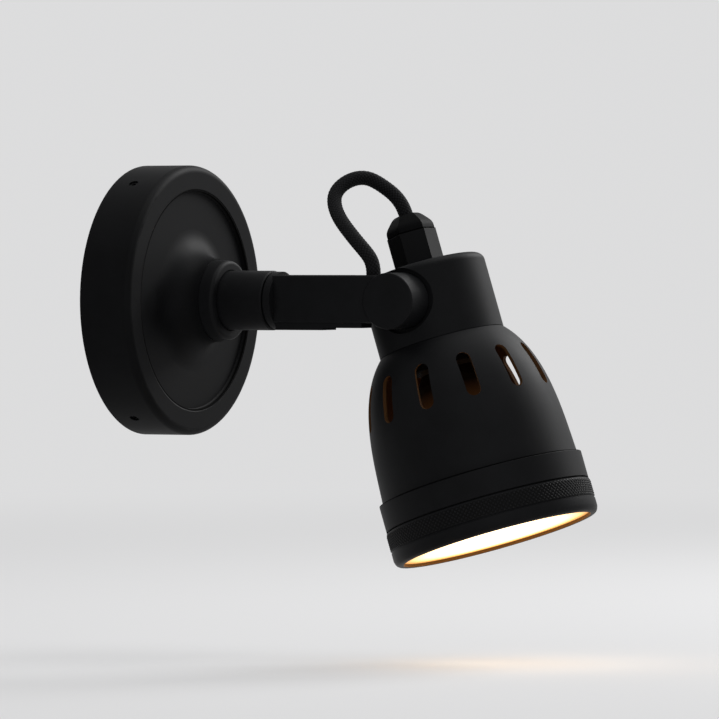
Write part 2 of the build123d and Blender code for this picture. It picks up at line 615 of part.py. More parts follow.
def outlet_grommet():
    """Thin grommet that lines the cable's outlet in the top of the arm."""
    return outlet_place() * ring(OUTLET_RADIUS, CABLE_RADIUS + FIT, CHANNEL_TOP, BAR_TOP)


# ---- knuckle ---------------------------------------------------------------------------------
def knuckle_disc():
    """Disc pressed into the knuckle's near side, over the pivot's nut."""
    disc = fillet(rod(KNUCKLE_RADIUS, DISC_FACE, DISC_BACK).edges().group_by(Axis.Z)[0], DISC_EDGE)
    disc += ring(POCKET_RADIUS, POCKET_RADIUS - 2 * BEVEL, DISC_BACK, BOLT_END)
    return across(disc, PIVOT_REACH)


def pivot_nut():
    """Lock nut on the pivot bolt, in the knuckle's pocket."""
    nut = hexagon(NUT_FLATS, NUT_FACE, SPRING_FACE) - rod(PIVOT_RADIUS, NUT_FACE, SPRING_FACE)
    return across(nut, PIVOT_REACH)


def pivot_springs():
    """Two disc springs that load the friction pivot."""
    outer, bore = POCKET_RADIUS - POCKET_CLEARANCE, PIVOT_RADIUS + FIT
    half = SPRING_FACE + DISC_SPRING
    springs = ring(outer, bore, SPRING_FACE, half) + ring(outer - SPRING_STEP, bore, half, POCKET_FLOOR)
    return across(springs, PIVOT_REACH)


def pivot_bolt():
    """Countersunk bolt from inside the cap, through the knuckle."""
    flats, depth = BOLT_SOCKET
    bolt = countersunk(PIVOT_RADIUS, BOLT_END, BOLT_HEAD_FACE)
    return across(bolt - hexagon(flats, BOLT_HEAD_FACE - depth, BOLT_HEAD_FACE + CUT), PIVOT_REACH)


def friction_washer():
    """Fibre washer between the knuckle and the cap's seat."""
    return across(ring(KNUCKLE_RADIUS - BEVEL, PIVOT_RADIUS + FIT, FAR_FACE, SEAT_FACE), PIVOT_REACH)


# ---- head ------------------------------------------------------------------------------------
def head_cap():
    """Cap of the head, with a flat seat for the knuckle in its side."""
    inside = CAP_RADIUS - CAP_WALL
    edge = (CAP_RADIUS - CAP_EDGE, CAP_TOP - CAP_EDGE)
    length, wall = CAP_SPIGOT
    neck = CAP_RADIUS - SHADE_WALL
    body = turned(
        line((edge[0], CAP_TOP), (0, CAP_TOP), (0, CAP_CEILING), (inside, CAP_CEILING), (inside, CAP_BOTTOM),
             (neck - wall, CAP_BOTTOM - 2 * BEVEL), (neck - wall, CAP_BOTTOM - length), (neck, CAP_BOTTOM - length),
             (neck, CAP_BOTTOM), (CAP_RADIUS, CAP_BOTTOM), (CAP_RADIUS, edge[1])),
        corner(edge, CAP_EDGE, 0, 90))
    seat = Pos(-SEAT_DISTANCE, 0, 0) * ACROSS
    body += seat * rod(SEAT_RADIUS + SEAT_WALL, -CAP_WALL, SEAT_BOSS) & rod(CAP_RADIUS - FIT, CAP_BOTTOM, CAP_CEILING)
    body -= seat * rod(SEAT_RADIUS, -2 * CAP_WALL, 0)
    body -= Pos(-HEAD_OFFSET, 0, 0) * ACROSS * countersunk(PIVOT_RADIUS, SEAT_FACE, BOLT_HEAD_FACE, CUT)
    for side in (-1, 1):
        place = Pos(0, side * BRACKET_SPACING / 2, 0)
        boss = place * rod(BRACKET_BOSS, BRACKET_TOP, CAP_CEILING)
        body += boss & rod(CAP_RADIUS - CAP_WALL / 2, BRACKET_TOP, CAP_CEILING)
        body -= place * rod(SCREW_RADIUS, BRACKET_TOP - CUT, BRACKET_TOP + SCREW_REACH + BEVEL)
    body -= rod(GLAND_THREAD, CAP_CEILING - CUT, CAP_TOP + CUT)
    return HEAD * body


def shade_curve(inset):
    """The shade's flared outline from neck to rim, set in by a wall."""
    flare = SHADE_RADIUS - CAP_RADIUS
    points = [(CAP_RADIUS + spread * flare - inset, 0, CAP_BOTTOM - share * SHADE_LENGTH)
              for share, spread in ((0, 0), *SHADE_SHAPE, (1, 1))]
    return Spline(*points)


def shade_bell():
    """Spun shade with a ring of long vents near its neck."""
    body = turned(
        shade_curve(0),
        line((SHADE_RADIUS, SHADE_BOTTOM), (SHADE_RADIUS, SHADE_END), (SHADE_BORE, SHADE_END),
             (SHADE_BORE, SHADE_BOTTOM)),
        shade_curve(SHADE_WALL),
        line((CAP_RADIUS - SHADE_WALL, CAP_BOTTOM), (CAP_RADIUS, CAP_BOTTOM)))
    slot = extrude(SlotOverall(SLOT_LENGTH, SLOT_WIDTH, rotation=90), SHADE_RADIUS)
    middle = CAP_BOTTOM - SLOT_DROP - SLOT_LENGTH / 2
    for step in range(SLOT_COUNT):
        turn = step * 360 / SLOT_COUNT + SLOT_TURN
        body -= Rot(0, 0, turn) * Pos(0, 0, middle) * Rot(90, 0, 0) * slot
    return HEAD * body


def rim_band():
    """Plain band round the shade's rim, with the thread that the bezel screws on."""
    return HEAD * turned((SHADE_RADIUS, SHADE_BOTTOM), (BAND_RADIUS, SHADE_BOTTOM), (BAND_RADIUS, BAND_BOTTOM),
                         (THREAD_RADIUS, BAND_BOTTOM), (THREAD_RADIUS, THREAD_END), (SHADE_BORE, THREAD_END),
                         (SHADE_BORE, SHADE_END), (SHADE_RADIUS, SHADE_END))


def bezel_ring():
    """Bezel with a raised grip for its knurl, a plain lip and a groove for the snap ring."""
    bore, groove = BEZEL_BORE, BEZEL_BORE + SNAP_GROOVE
    seat = LENS_RADIUS + LENS_CLEARANCE
    plain = BEZEL_RADIUS - KNURL_DROP
    grip = BEZEL_TOP - KNURL_LENGTH
    edge = (plain - BEZEL_EDGE, MOUTH + BEZEL_EDGE)
    return HEAD * turned(
        line((edge[0], MOUTH), (MOUTH_RADIUS, MOUTH), (MOUTH_RADIUS, LENS_FACE), (seat, LENS_FACE),
             (seat, GASKET_BACK), (groove, GASKET_BACK), (groove, SNAP_BACK), (bore, SNAP_BACK),
             (bore, BEZEL_TOP), (plain, BEZEL_TOP), (BEZEL_RADIUS, BEZEL_TOP - KNURL_DROP),
             (BEZEL_RADIUS, grip + KNURL_DROP), (plain, grip), (plain, edge[1])),
        corner(edge, BEZEL_EDGE, 0, -90))


def lens():
    """Frosted glass disc in the bezel."""
    return HEAD * rod(LENS_RADIUS, LENS_FACE, LENS_BACK)


def lens_gasket():
    """Silicone ring behind the lens."""
    return HEAD * ring(LENS_RADIUS, LENS_RADIUS - GASKET[0], LENS_BACK, GASKET_BACK)


def snap_ring():
    """Open spring ring that keeps the lens and its gasket in the bezel."""
    outer = BEZEL_BORE + SNAP_GROOVE / 2
    clip = ring(outer, outer - SNAP_WIDTH, GASKET_BACK, SNAP_BACK)
    return HEAD * (clip - block(centred(SNAP_MOUTH), (0, BEZEL_RADIUS), (LENS_BACK, BEZEL_TOP)))


# ---- lamp and holder -------------------------------------------------------------------------
def lamp_holder():
    """Lampholder with a wider skirt and a bore for the lamp's base."""
    slim = HOLDER_RADIUS - HOLDER_STEP
    skirt = HOLDER_TOP - HOLDER_SKIRT
    body = turned((0, HOLDER_TOP), (slim - HOLDER_CROWN, HOLDER_TOP), (slim, HOLDER_TOP - HOLDER_CROWN),
                  (slim, skirt + HOLDER_STEP), (HOLDER_RADIUS, skirt), (HOLDER_RADIUS, HOLDER_BOTTOM),
                  (HOLDER_BORE, HOLDER_BOTTOM), (HOLDER_BORE, CONTACT), (0, CONTACT))
    return HEAD * (body - rod(NIPPLE_RADIUS, HOLDER_TOP - NIPPLE_DEPTH, HOLDER_TOP + CUT))


def holder_contact():
    """Springy centre contact at the bottom of the lampholder."""
    return HEAD * turned((0, CONTACT), (CONTACT_RADIUS, CONTACT), (CONTACT_RADIUS, CONTACT - CONTACT_STRIP),
                         (CONTACT_TIP, LAMP_TOP), (0, LAMP_TOP))


def holder_nipple():
    """Hollow threaded nipple that hangs the lampholder from its bracket."""
    return HEAD * ring(NIPPLE_RADIUS, CABLE_RADIUS + FIT, HOLDER_TOP - NIPPLE_DEPTH, NIPPLE_TOP)


def nipple_nut():
    """Nut on the nipple, above the bracket."""
    return HEAD * (hexagon(NIPPLE_NUT[0], BRACKET_TOP, NIPPLE_TOP) - rod(NIPPLE_RADIUS, BRACKET_TOP, NIPPLE_TOP))


def holder_bracket():
    """Strap across the cap that carries the lampholder."""
    strap = block(centred(BRACKET_WIDTH), centred(BRACKET_SPACING + 2 * BRACKET_BOSS), (HOLDER_TOP, BRACKET_TOP))
    strap &= rod(CAP_RADIUS - CAP_WALL - FIT, HOLDER_TOP, BRACKET_TOP)
    strap -= rod(NIPPLE_RADIUS, HOLDER_TOP, BRACKET_TOP)
    for side in (-1, 1):
        strap -= Pos(0, side * BRACKET_SPACING / 2, 0) * rod(SCREW_RADIUS, HOLDER_TOP, BRACKET_TOP)
    return HEAD * strap


def bracket_screws():
    """Two screws that hold the bracket to bosses under the cap's top."""
    radius, height = SCREW_HEAD
    face = HOLDER_TOP - height
    screw = rod(SCREW_RADIUS, HOLDER_TOP, BRACKET_TOP + SCREW_REACH) + rod(radius, face, HOLDER_TOP)
    screw -= driver_slot(face)
    return HEAD * Compound([Pos(0, side * BRACKET_SPACING / 2, 0) * screw for side in (-1, 1)])


def lamp_base():
    """Screw base of the lamp, with its insulated tip."""
    tip = [(radius, LAMP_TOP - depth) for radius, depth in LAMP_TIP]
    return HEAD * turned((0, LAMP_TOP), *tip, (LAMP_BASE_RADIUS, LAMP_TOP - LAMP_BASE_CONE),
                         (LAMP_BASE_RADIUS, LAMP_BASE_END), (0, LAMP_BASE_END))


def bulb_outline(inset):
    """Half outline of the lamp's glass from its front to its neck, set in by a wall."""
    front = LAMP_FRONT + inset
    crown = front + LAMP_CROWN
    wide, neck = LAMP_RADIUS - inset, LAMP_NECK - inset
    taper, straight = LAMP_NECK_LENGTH
    spread, depth = LAMP_BOWL
    return [
        Spline((0, 0, front), (wide / 2, 0, front + LAMP_CROWN / 4), (wide, 0, crown),
               tangents=[(1, 0, 0), (0.3, 0, 1)]),
        line((wide, crown), (wide, crown + LAMP_RIM)),
        Spline((wide, 0, crown + LAMP_RIM), (neck + spread, 0, LAMP_BASE_END - depth),
               (neck, 0, LAMP_BASE_END - straight), tangents=[(0, 0, 1), (0, 0, 1)]),
        line((neck, LAMP_BASE_END - straight), (neck, LAMP_BASE_END - taper),
             (LAMP_BASE_RADIUS - LAMP_SETTLE - inset, LAMP_BASE_END)),
    ]


def lamp_bulb():
    """Reflector lamp's thin glass: neck, bowl and a shallow crowned front."""
    outer, inner = bulb_outline(0), bulb_outline(LAMP_WALL)
    rims = [Line(outer[0] @ 0, inner[0] @ 0), Line(outer[-1] @ 1, inner[-1] @ 1)]
    return HEAD * turned(*outer, *inner, *rims)


# ---- gland -----------------------------------------------------------------------------------
def gland_body():
    """Tall hexagonal gland body with its threaded stub through the cap's top."""
    body = hexagon(GLAND_FLATS, CAP_TOP, GLAND_TOP) + rod(GLAND_THREAD, CAP_TOP - GLAND_STUB, CAP_TOP)
    body -= rod(CABLE_RADIUS + FIT, CAP_TOP - GLAND_STUB - CUT, GLAND_TOP)
    body -= rod(SEAL_RADIUS, GLAND_TOP - SEAL_LENGTH, GLAND_TOP + CUT)
    return HEAD * body


def gland_seal():
    """Rubber sleeve that grips the cable in the gland."""
    return HEAD * ring(SEAL_RADIUS, CABLE_RADIUS, GLAND_TOP - SEAL_LENGTH, GLAND_TOP)


def gland_lock_nut():
    """Flat nut on the gland's stub, inside the cap."""
    flats, thickness = GLAND_LOCK_NUT
    low = CAP_CEILING - thickness
    return HEAD * (hexagon(flats, low, CAP_CEILING) - rod(GLAND_THREAD, low, CAP_CEILING))


def gland_dome():
    """Six-sided domed clamping nut: three crossed arches, bored for the cable."""
    half, top, rise = DOME_FLATS / 2, DOME_TOP, DOME_HEIGHT
    share, lift = DOME_SHAPE
    bulge = top + share * (half - top)
    arch = make_face([
        Polyline((-half, DOME_SHOULDER), (-half, 0), (half, 0), (half, DOME_SHOULDER)),
        Spline((half, DOME_SHOULDER), (bulge, lift * rise), (top, rise), tangents=[(0, 1), (-1, DOME_SLOPE)]),
        Line((top, rise), (-top, rise)),
        Spline((-top, rise), (-bulge, lift * rise), (-half, DOME_SHOULDER), tangents=[(-1, -DOME_SLOPE), (0, -1)]),
    ])
    vault = Rot(90, 0, 0) * extrude(arch, DOME_FLATS, both=True)
    dome = vault & Rot(0, 0, 60) * vault & Rot(0, 0, 120) * vault
    dome -= rod(CABLE_RADIUS + FIT, -CUT, rise + CUT)
    return HEAD * Pos(0, 0, GLAND_TOP) * Rot(0, 0, 90) * dome


# ---- cable -----------------------------------------------------------------------------------
def corner_radii(points):
    """Arc radii for a route's corners: as large as the two runs at each corner allow."""
    at = [Vector(*point) for point in points]
    runs = [b - a for a, b in zip(at, at[1:])]
    radii = []
    for before, after in zip(runs, runs[1:]):
        turn = before.get_angle(after)
        radii.append(0.45 * min(before.length, after.length) / tan(radians(turn / 2)))
    return radii


def tube(points, radius):
    """A round cable along straight runs joined by tangent arcs."""
    radii = corner_radii(points)
    path = FilletPolyline(*points, radius=radii)
    start = Plane(origin=path @ 0, z_dir=path % 0)
    cable = sweep(start * Circle(radius), path=path)
    spare = abs(cable.volume / (pi * radius ** 2 * path.length) - 1)
    print(f"cable length {path.length:.1f} radii {[round(r, 1) for r in radii]} volume off by {spare:.4f}")
    return cable


def arm_cable():
    """The cable through the arm, from the spigot's end to the outlet."""
    middle, low = -CHANNEL_OFFSET, -CABLE_DROP
    crossing = (CHANNEL_START + 2 * CUT, WIDE_END - 2 * CUT)
    points = [(0, -SPIGOT_END, 0), (0, -crossing[0], 0), (middle, -crossing[1], low),
              (middle, -OUTLET_DEPTH, low), (middle, -OUTLET_DEPTH, BAR_TOP)]
    return tube(points, CABLE_RADIUS)


def loop_cable():
    """The cable's free loop from the arm to the gland, straight where it leaves either."""
    outlet = [(-CHANNEL_OFFSET, -OUTLET_DEPTH, BAR_TOP + rise) for rise in (0, OUTLET_RISE)]
    gland = [(HEAD * Pos(0, 0, DOME_END + rise)).position for rise in (GLAND_RISE, 0)]
    return tube([*outlet, *LOOP_ROUTE, *gland], CABLE_RADIUS)


def head_cable():
    """The cable inside the gland, down to the lampholder's nipple."""
    return HEAD * rod(CABLE_RADIUS, HOLDER_TOP - NIPPLE_DEPTH + CUT, DOME_END)


PIECES = [
    wall_plate, entry_grommet, terminal_block, terminal_screws, terminal_fixings, earth_screw, supply_cores,
    rose_cover, rose_grub_screws, sleeve_collar, arm_sleeve, swivel_bush, swivel_stop_pin,
    swivel_wave_washer, swivel_stop_washer, swivel_circlip,
    arm_bar, wireway_cover, cover_screw, cable_clamp, outlet_grommet, arm_cable,
    knuckle_disc, pivot_nut, pivot_springs, pivot_bolt, friction_washer,
    head_cap, shade_bell, rim_band, bezel_ring, lens, lens_gasket, snap_ring,
    lamp_holder, holder_contact, holder_nipple, nipple_nut, holder_bracket, bracket_screws,
    lamp_base, lamp_bulb,
    gland_body, gland_seal, gland_lock_nut, gland_dome, loop_cable, head_cable,
]

os.makedirs("parts", exist_ok=True)
for piece in PIECES:
    export_step(piece(), f"parts/{piece.__name__}.step")
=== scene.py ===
"""Looks of the pivoting spotlight wall light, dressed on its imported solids.

Metres, +Z up. The wall is the plane Y = 0, the light stands out along -Y, and the origin is on the
wall behind the middle of the rose.
"""
import json
import math

import bpy
import numpy as np
from mathutils import Matrix, Vector


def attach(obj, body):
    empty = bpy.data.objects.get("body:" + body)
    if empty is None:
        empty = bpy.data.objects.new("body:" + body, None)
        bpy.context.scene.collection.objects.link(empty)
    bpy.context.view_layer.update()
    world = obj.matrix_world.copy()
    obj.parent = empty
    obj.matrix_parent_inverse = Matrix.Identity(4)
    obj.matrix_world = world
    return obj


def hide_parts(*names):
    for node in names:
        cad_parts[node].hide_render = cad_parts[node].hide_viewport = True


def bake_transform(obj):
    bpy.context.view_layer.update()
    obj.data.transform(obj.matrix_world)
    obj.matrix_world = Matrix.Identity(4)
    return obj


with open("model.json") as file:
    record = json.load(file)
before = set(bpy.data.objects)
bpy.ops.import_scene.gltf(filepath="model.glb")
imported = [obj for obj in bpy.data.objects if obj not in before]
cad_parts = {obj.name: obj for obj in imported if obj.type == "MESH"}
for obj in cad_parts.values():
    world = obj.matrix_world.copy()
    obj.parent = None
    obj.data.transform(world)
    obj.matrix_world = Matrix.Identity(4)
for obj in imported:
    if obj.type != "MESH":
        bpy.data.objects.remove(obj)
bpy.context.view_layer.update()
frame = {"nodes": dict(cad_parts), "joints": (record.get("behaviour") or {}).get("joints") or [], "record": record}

MM = 0.001
TURN = 2 * math.pi

# The bezel unscrews down the head's axis, so its joint gives that axis at the pivot, and its tilt.
BEZEL_SCREW = next(joint for joint in frame["joints"] if joint["name"] == "bezel_turn")
HEAD_PLACE = tuple(BEZEL_SCREW["pos_m"])
HEAD_TILT = math.atan2(-BEZEL_SCREW["axis"][1], -BEZEL_SCREW["axis"][2])
HEAD = Matrix.Translation(HEAD_PLACE) @ Matrix.Rotation(-HEAD_TILT, 4, "X")


# ---- camera ------------------------------------------------------------------------------------
PICTURE = 719.0                         # width of the picture that the view was fitted to, in pixels
FOCAL = 7000.0                          # focal length, in the same pixels
SENSOR = 36.0                           # millimetres
AZIMUTH, ELEVATION, ROLL = (math.radians(angle) for angle in (-61.65, 1.1, 0.15))
DISTANCE, ASIDE, BELOW = 3.1255, 0.09426, 0.02652      # from the origin: back, right and down
NEAREST, FARTHEST = 0.1, 50.0           # what lies nearer or farther isn't drawn


def make_camera():
    """The camera at the photograph's angle: far off, a little above the arm, on the -X side."""
    cos_a, sin_a = math.cos(AZIMUTH), math.sin(AZIMUTH)
    cos_e, sin_e = math.cos(ELEVATION), math.sin(ELEVATION)
    back = Vector((sin_a * cos_e, -cos_a * cos_e, sin_e))
    right = Vector((cos_a, sin_a, 0.0))
    up = back.cross(right)
    rolled_right = right * math.cos(ROLL) - up * math.sin(ROLL)
    rolled_up = right * math.sin(ROLL) + up * math.cos(ROLL)
    data = bpy.data.cameras.new("camera")
    data.sensor_width = SENSOR
    data.lens = FOCAL * SENSOR / PICTURE
    data.clip_start, data.clip_end = NEAREST, FARTHEST
    camera = link("camera", data)
    turn = Matrix((rolled_right, rolled_up, back)).transposed().to_4x4()
    place = back * DISTANCE + rolled_right * ASIDE - rolled_up * BELOW
    camera.matrix_world = Matrix.Translation(place) @ turn
    bpy.context.scene.camera = camera


# ---- helpers for objects and meshes ------------------------------------------------------------
def link(name, data):
    """A new object in the scene."""
    piece = bpy.data.objects.new(name, data)
    bpy.context.scene.collection.objects.link(piece)
    return piece


def metres(place):
    """A place given in millimetres."""
    return tuple(value * MM for value in place)


def placed(points, matrix):
    """Points moved by a 4x4 matrix: each is turned, then shifted."""
    m = np.array(matrix)
    return points @ m[:3, :3].T + m[:3, 3]


def signed_volume(mesh):
    """Sum of the tetrahedra from the origin to each triangle: positive where faces point outwards."""
    mesh.calc_loop_triangles()
    corners = np.empty(len(mesh.loop_triangles) * 3, np.int64)
    mesh.loop_triangles.foreach_get("vertices", corners)
    places = np.empty(len(mesh.vertices) * 3)
    mesh.vertices.foreach_get("co", places)
    a, b, c = places.reshape(-1, 3)[corners.reshape(-1, 3)].transpose(1, 0, 2)
    return float((a * np.cross(b, c)).sum() / 6)


def grid_mesh(name, points, closed_rows):
    """A closed mesh from a (rows, columns, 3) grid whose columns close on themselves.

    Quad (i, j) joins points (i, j), (i, j+1), (i+1, j+1), (i+1, j), with j+1 taken round, and i+1
    too where the rows close. Where they don't, each end gets a middle point, joined as a fan.
    """
    rows, columns = points.shape[:2]
    i = np.arange(rows if closed_rows else rows - 1)[:, None]
    j = np.arange(columns)[None, :]
    after_i, after_j = (i + 1) % rows, (j + 1) % columns
    quads = np.stack([i * columns + j, i * columns + after_j,
                      after_i * columns + after_j, after_i * columns + j], -1).reshape(-1, 4)
    vertices = points.reshape(-1, 3)
    faces = quads.tolist()
    if not closed_rows:
        first, last = len(vertices), len(vertices) + 1
        ends = np.stack([points[0].mean(0), points[-1].mean(0)])
        vertices = np.concatenate([vertices, ends])
        around = np.arange(columns)
        beside = (around + 1) % columns
        low = np.stack([beside, around, np.full(columns, first)], -1)
        base = (rows - 1) * columns
        high = np.stack([base + around, base + beside, np.full(columns, last)], -1)
        faces += low.tolist() + high.tolist()
    mesh = bpy.data.meshes.new(name)
    mesh.from_pydata(vertices.tolist(), [], faces)
    if signed_volume(mesh) < 0:
        mesh.flip_normals()
    mesh.polygons.foreach_set("use_smooth", np.ones(len(mesh.polygons), bool))
    mesh.update()
    return mesh


def keep_numbers(mesh, name, values):
    """Keeps a number for each vertex, for the mesh's material to read."""
    layer = mesh.attributes.new(name, "FLOAT", "POINT")
    layer.data.foreach_set("value", values.astype(np.float32))


# ---- nodes of a finish -------------------------------------------------------------------------
MIX_FIRST, MIX_SECOND, MIX_RESULT = 6, 7, 2     # a Mix node's sockets for colours
NOISE_ROUGHNESS = 0.55
NOISE_LOW, NOISE_HIGH = 0.35, 0.65      # nearly all of a noise lies between these
# Painted shade: near-black for gaps, grooves and joints, where shade falls.
CREVICE_SHADE = (0.0004, 0.0004, 0.0004)
LINE_CORE = 0.4                         # share of a joint line's width whose painted shade is fully dark


class Nodes:
    """A node tree with short ways to add and join its nodes."""

    def __init__(self, tree):
        self.tree = tree

    def add(self, kind, **settings):
        node = self.tree.nodes.new("ShaderNode" + kind)
        for key, value in settings.items():
            setattr(node, key, value)
        return node

    def join(self, source, target):
        """Feeds a socket from another one, or sets it to a plain value."""
        if isinstance(source, bpy.types.NodeSocket):
            self.tree.links.new(source, target)
        else:
            target.default_value = source

    def fill(self, node, **sources):
        """Feeds a node's inputs by name, with _ for each space in it."""
        for name, source in sources.items():
            self.join(source, node.inputs[name.replace("_", " ")])

    def worked_out(self, node, sources):
        """Feeds a node's inputs in their order, and gives its outputs."""
        for source, socket in zip(sources, node.inputs):
            self.join(source, socket)
        return node.outputs

    def number(self, operation, *sources, **settings):
        """What a Math node makes of its sources."""
        return self.worked_out(self.add("Math", operation=operation, **settings), sources)["Value"]

    def vector(self, operation, *sources):
        """What a Vector Math node makes of its sources."""
        return self.worked_out(self.add("VectorMath", operation=operation), sources)["Vector"]

    def measure(self, operation, *sources):
        """The number that a Vector Math node makes of its sources."""
        return self.worked_out(self.add("VectorMath", operation=operation), sources)["Value"]

    def noise(self, vector, scale, detail=3.0):
        """Noise with about this many features to the metre."""
        node = self.add("TexNoise")
        self.fill(node, Vector=vector, Scale=scale, Detail=detail, Roughness=NOISE_ROUGHNESS)
        return node.outputs["Fac"]

    def between(self, source, low, high, start=NOISE_LOW, end=NOISE_HIGH, **settings):
        """A number that goes from low to high as the source goes from start to end."""
        node = self.add("MapRange", **settings)
        self.fill(node, Value=source, From_Min=start, From_Max=end, To_Min=low, To_Max=high)
        return node.outputs["Result"]

    def ramp(self, source, stops):
        """A colour that goes through the stops, (place, colour) each, as the source goes from 0 to 1."""
        node = self.add("ValToRGB")
        elements = node.color_ramp.elements
        while len(elements) < len(stops):
            elements.new(1.0)
        for element, (place, colour) in zip(elements, stops):
            element.position, element.color = place, (*colour, 1.0)
        self.join(source, node.inputs["Fac"])
        return node.outputs["Color"]

    def mix(self, amount, first, second):
        """Goes from the first colour to the second as the amount goes from 0 to 1."""
        node = self.add("Mix", data_type="RGBA")
        self.join(amount, node.inputs["Factor"])
        for colour, socket in ((first, MIX_FIRST), (second, MIX_SECOND)):
            self.join((*colour, 1.0) if isinstance(colour, tuple) else colour, node.inputs[socket])
        return node.outputs[MIX_RESULT]


class Finish(Nodes):
    """A material under construction, with its shader."""

    def __init__(self, name):
        self.material = bpy.data.materials.new(name)
        self.material.use_nodes = True
        super().__init__(self.material.node_tree)
        self.shader = self.tree.nodes["Principled BSDF"]
        self.coordinates = self.add("TexCoord").outputs

    def set(self, **sources):
        """Feeds the shader's inputs."""
        self.fill(self.shader, **sources)

    def now(self, name):
        """What feeds one of the shader's inputs so far."""
        return self.shader.inputs[name].links[0].from_socket

    def relief(self, height, depth, strength=0.6):
        """Bumps the skin by a height, on top of any relief that it has."""
        node = self.add("Bump")
        self.fill(node, Strength=strength, Distance=depth, Height=height)
        if self.shader.inputs["Normal"].links:
            self.fill(node, Normal=self.now("Normal"))
        self.set(Normal=node.outputs["Normal"])

    def joint_line(self, place, line, half_width):
        """A thin sunk line, painted dark as the shade in its gap, where a number that runs over the surface meets
        a value.
        """
        away = self.number("ABSOLUTE", self.number("SUBTRACT", place, line))
        depth = self.between(away, 1.0, 0.0, LINE_CORE * half_width, half_width)
        # painted shade in the gap: the line goes near-black
        self.set(Base_Color=self.mix(depth, self.now("Base Color"), CREVICE_SHADE))
        self.set(Roughness=self.number("MAXIMUM", self.now("Roughness"), depth))
        self.relief(self.between(depth, 0.0, -1.0, 0.0, 1.0), half_width, strength=1.0)

    def head_places(self):
        """Places in the head's own frame, with +Z up its axis from the pivot."""
        node = self.add("Mapping", vector_type="TEXTURE")
        self.fill(node, Vector=self.coordinates["Object"],
                  Location=HEAD_PLACE, Rotation=(-HEAD_TILT, 0, 0))
        return node.outputs["Vector"]

    def head_height(self):
        """Height along the head's axis, from the pivot."""
        node = self.add("SeparateXYZ")
        self.fill(node, Vector=self.head_places())
        return node.outputs["Z"]

    def out_of_axis(self):
        """The way out from the head's axis to the place, square to the axis."""
        return self.vector("MULTIPLY", self.head_places(), (1, 1, 0))


# ---- finishes ----------------------------------------------------------------------------------
POWDER_DARK, POWDER_LIGHT = (0.0030, 0.0031, 0.0035), (0.0048, 0.0050, 0.0056)
POWDER_ROUGH, KNURL_ROUGH = (0.54, 0.58), (0.46, 0.52)         # roughness where dark and where light
POWDER_SPECULAR = 0.07
SHADED_TONE, DEEPER_SHADED_TONE = 0.75, 0.45            # painted shade: darker tones of a coat, as shares of the plain one
KNURL_CREST = (0.020, 0.020, 0.022)
KNURL_GROOVE = (0.2, 0.6)               # knurl_height at which a groove's painted shade is black, and no longer dark
# Painted lamplight: warm colours on faces that look towards the head's axis, inside the bell and in the bezel's
# mouth, with the facing limits for each.
INNER_LAMPLIGHT, INNER_FACING = (0.07, 0.033, 0.012), (0.25, 0.5)
MOUTH_LAMPLIGHT, MOUTH_FACING = (0.15, 0.077, 0.021), (-0.8, -0.5)

# Joints round the head's axis, as heights on it. The line drawn for one lies at it, or a little above
# or below it where both pieces have a line of their own.
BAND_TOP, CAP_FOOT, GLAND_JOINT = -82.8 * MM, -20.2 * MM, 30.7 * MM
LINE_ABOVE, LINE_BELOW = 0.15 * MM, 0.1 * MM
JOINT_HALF_WIDTH = 0.3 * MM
DISH_RADIUS, DISH_HALF_WIDTH = 48.8 * MM, 0.8 * MM      # the step from the rose's rim to its dish

LENS_RADIUS = 43.8 * MM
LENS_GLOW = [  # (share of the radius, colour)
    (0.0, (1.0, 0.9, 0.74)), (0.5, (1.0, 0.78, 0.5)), (0.76, (0.78, 0.47, 0.2)),
    (0.89, (0.42, 0.2, 0.05)), (1.0, (0.12, 0.048, 0.009)),
]
LENS_STRENGTH = 3.0
LAMP_NECK, LAMP_FRONT = -40 * MM, -95 * MM      # heights on the head's axis
LAMP_GLOW = [  # (share of the way from neck to front, colour)
    (0.0, (0.0, 0.0, 0.0)), (0.22, (0.012, 0.0045, 0.0014)), (0.45, (0.04, 0.015, 0.004)),
    (0.8, (0.05, 0.02, 0.006)), (1.0, (1.0, 0.66, 0.32)),
]
LAMP_STRENGTH = 2.0
# The lamp's coat, and the lighter brown it turns towards the front, which is painted lamplight.
LAMP_COAT, LAMP_LIT_BROWN = (0.014, 0.007, 0.003), (0.10, 0.046, 0.015)

YARN_DARK, YARN_LIGHT, YARN_ROUGH = (0.005, 0.005, 0.0057), (0.010, 0.010, 0.0115), (0.76, 0.9)
FLECK, FLECK_RANGE = (0.03, 0.031, 0.035), (0.60, 0.72)         # noise at which flecks set in, and are full
YARN_GAP = (0.25, 0.85)                 # yarn_height at which a gap's painted shade is black, and no longer dark
